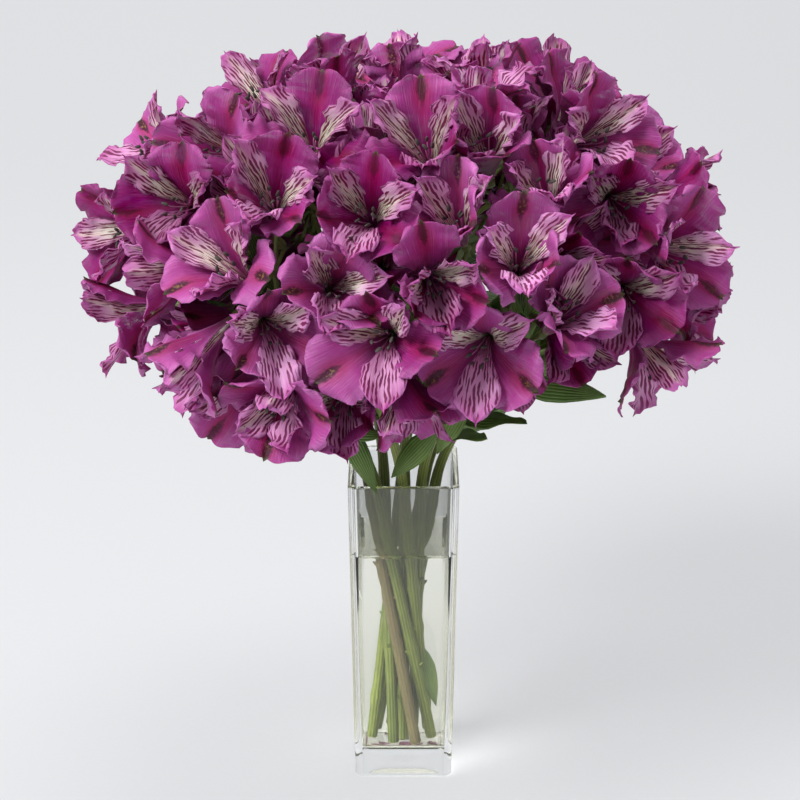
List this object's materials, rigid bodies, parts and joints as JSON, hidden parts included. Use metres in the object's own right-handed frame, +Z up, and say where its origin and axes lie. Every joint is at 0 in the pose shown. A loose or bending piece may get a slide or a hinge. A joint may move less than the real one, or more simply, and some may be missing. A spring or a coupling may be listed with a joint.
{
  "type": "vase of alstroemeria stems",
  "caption": "Bouquet of purple alstroemeria stems with striped funnel blooms and lance-shaped leaves, standing in a tall square tapered clear-glass vase of water.",
  "frame": {"origin": "middle of the vase's underside", "axes": "+Z up, +X to the right and -Y towards the viewer of the picture, square with the vase's sides"},
  "size_m": [0.4324, 0.4034, 0.5252],
  "materials": {
    "vase_glass": "polished",
    "water": "polished",
    "stem_green": "satin",
    "tepal_purple": "satin"
  },
  "bodies": {
    "root": {"stem_1": "stem_green", "stem_1_cyme_1": "tepal_purple", "stem_1_cyme_2": "tepal_purple", "stem_1_cyme_3": "tepal_purple", "stem_1_cyme_4": "tepal_purple", "stem_2": "stem_green", "stem_2_cyme_1": "tepal_purple", "stem_2_cyme_2": "tepal_purple", "stem_2_cyme_3": "tepal_purple", "stem_2_cyme_4": "tepal_purple", "stem_3": "stem_green", "stem_3_cyme_1": "tepal_purple", "stem_3_cyme_2": "tepal_purple", "stem_3_cyme_3": "tepal_purple", "stem_4": "stem_green", "stem_4_cyme_1": "tepal_purple", "stem_4_cyme_2": "tepal_purple", "stem_4_cyme_3": "tepal_purple", "stem_5": "stem_green", "stem_5_cyme_1": "tepal_purple", "stem_5_cyme_2": "tepal_purple", "stem_5_cyme_3": "tepal_purple", "stem_6": "stem_green", "stem_6_cyme_1": "tepal_purple", "stem_6_cyme_2": "tepal_purple", "stem_6_cyme_3": "tepal_purple", "stem_6_cyme_4": "tepal_purple", "stem_7": "stem_green", "stem_7_cyme_1": "tepal_purple", "stem_7_cyme_2": "tepal_purple", "stem_7_cyme_3": "tepal_purple", "stem_8": "stem_green", "stem_8_cyme_1": "tepal_purple", "stem_8_cyme_2": "tepal_purple", "stem_8_cyme_3": "tepal_purple", "stem_8_cyme_4": "tepal_purple", "stem_9": "stem_green", "stem_9_cyme_1": "tepal_purple", "stem_9_cyme_2": "tepal_purple", "stem_9_cyme_3": "tepal_purple", "stem_9_cyme_4": "tepal_purple", "stem_9_cyme_5": "tepal_purple", "stem_9_cyme_6": "tepal_purple", "stem_9_cyme_7": "tepal_purple", "stem_9_cyme_8": "tepal_purple", "stem_9_cyme_9": "tepal_purple", "vase": "vase_glass", "water": "water"}
  },
  "joints": []
}
